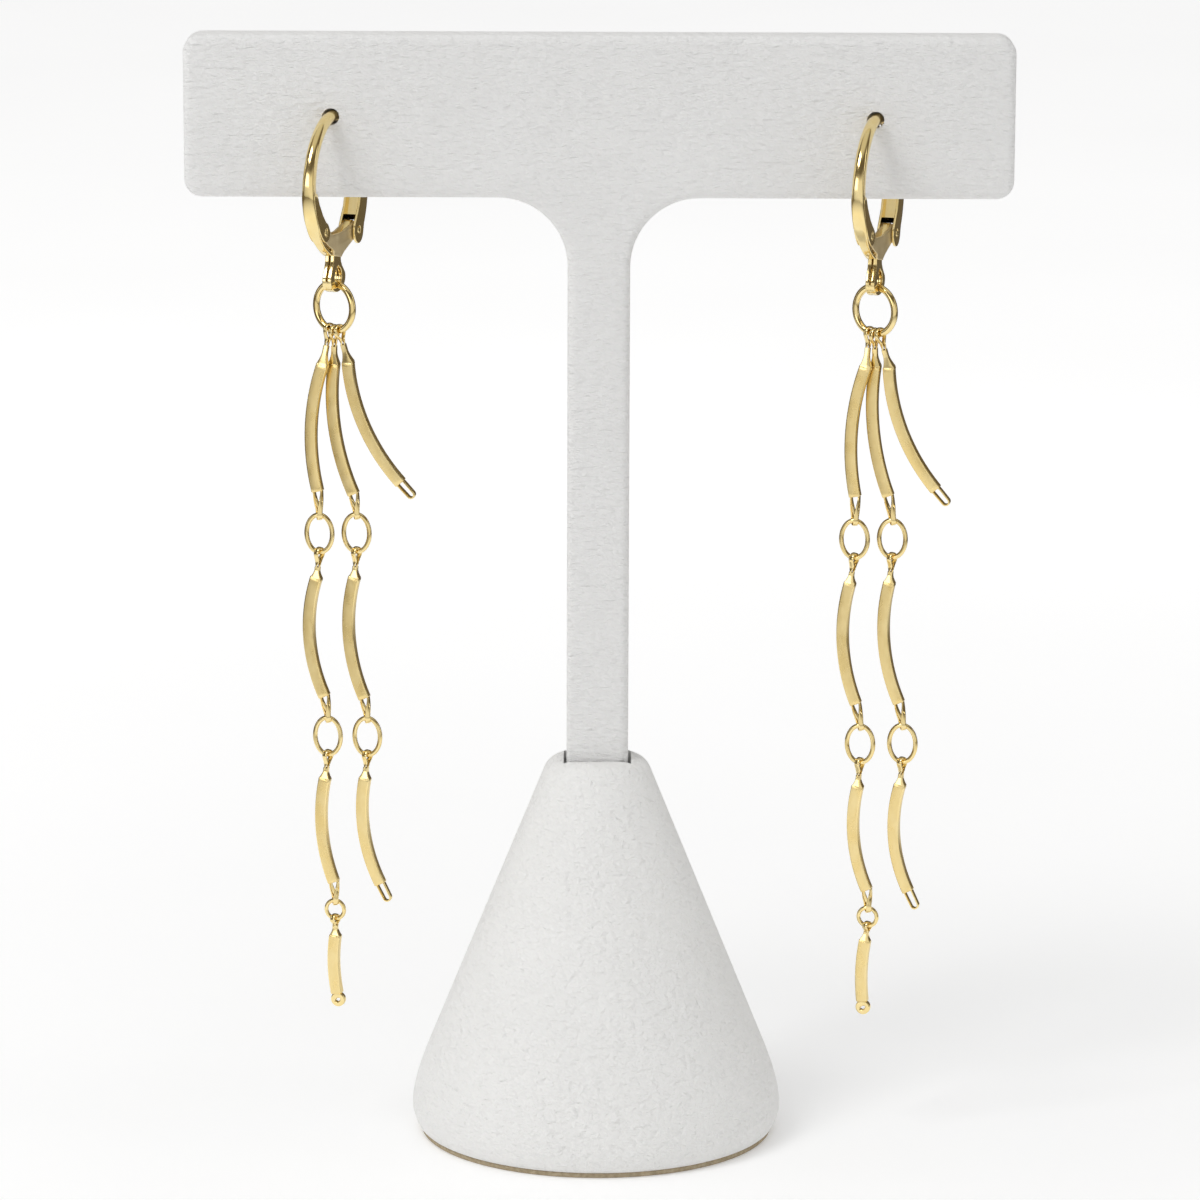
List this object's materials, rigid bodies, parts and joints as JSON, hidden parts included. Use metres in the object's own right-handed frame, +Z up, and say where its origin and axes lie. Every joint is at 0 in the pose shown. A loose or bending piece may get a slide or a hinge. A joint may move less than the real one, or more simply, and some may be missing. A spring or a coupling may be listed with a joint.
{
  "type": "pair of dangle earrings on a T-bar display stand",
  "caption": "Pair of lever-back dangle earrings with strands of curved bar links, hung through a T-shaped display stand with a conical foot.",
  "frame": {"origin": "middle of the foot's underside, on the table", "axes": "+Z up, the stand's front faces -Y, +X to the viewer's right"},
  "size_m": [0.0834, 0.0384, 0.1139],
  "materials": {
    "gold_metal": "polished",
    "leatherette": "fine grained, satin",
    "greyboard": "matte board"
  },
  "bodies": {
    "stand_and_strands": {"stand_tbar": "leatherette", "stand_foot": "leatherette", "stand_pad": "greyboard", "left_ear_hook": "gold_metal", "left_saddle": "gold_metal", "left_hinge_pin": "gold_metal", "left_front_rivet": "gold_metal", "left_main_ring": "gold_metal", "left_a_ring1": "gold_metal", "left_a_ring2": "gold_metal", "left_a_ring3": "gold_metal", "left_b_ring1": "gold_metal", "left_b_ring2": "gold_metal", "left_bar_a1": "gold_metal", "left_bar_a2": "gold_metal", "left_bar_a3": "gold_metal", "left_bar_a4": "gold_metal", "left_bar_b1": "gold_metal", "left_bar_b2": "gold_metal", "left_bar_b3": "gold_metal", "left_bar_c1": "gold_metal", "right_ear_hook": "gold_metal", "right_saddle": "gold_metal", "right_hinge_pin": "gold_metal", "right_front_rivet": "gold_metal", "right_main_ring": "gold_metal", "right_a_ring1": "gold_metal", "right_a_ring2": "gold_metal", "right_a_ring3": "gold_metal", "right_b_ring1": "gold_metal", "right_b_ring2": "gold_metal", "right_bar_a1": "gold_metal", "right_bar_a2": "gold_metal", "right_bar_a3": "gold_metal", "right_bar_a4": "gold_metal", "right_bar_b1": "gold_metal", "right_bar_b2": "gold_metal", "right_bar_b3": "gold_metal", "right_bar_c1": "gold_metal"},
    "left_lever_body": {"left_lever": "gold_metal"},
    "right_lever_body": {"right_lever": "gold_metal"}
  },
  "joints": [
    {"name": "left_lever_hinge", "type": "hinge", "parent": "stand_and_strands", "child": "left_lever_body", "pos_m": [-0.02516, 0.00318, 0.09355], "axis": [-0.9563, 0.2924, 0], "range_deg": [0, 65]},
    {"name": "right_lever_hinge", "type": "hinge", "parent": "stand_and_strands", "child": "right_lever_body", "pos_m": [0.02934, 0.00318, 0.0934], "axis": [-0.9563, 0.2924, 0], "range_deg": [0, 65]}
  ]
}
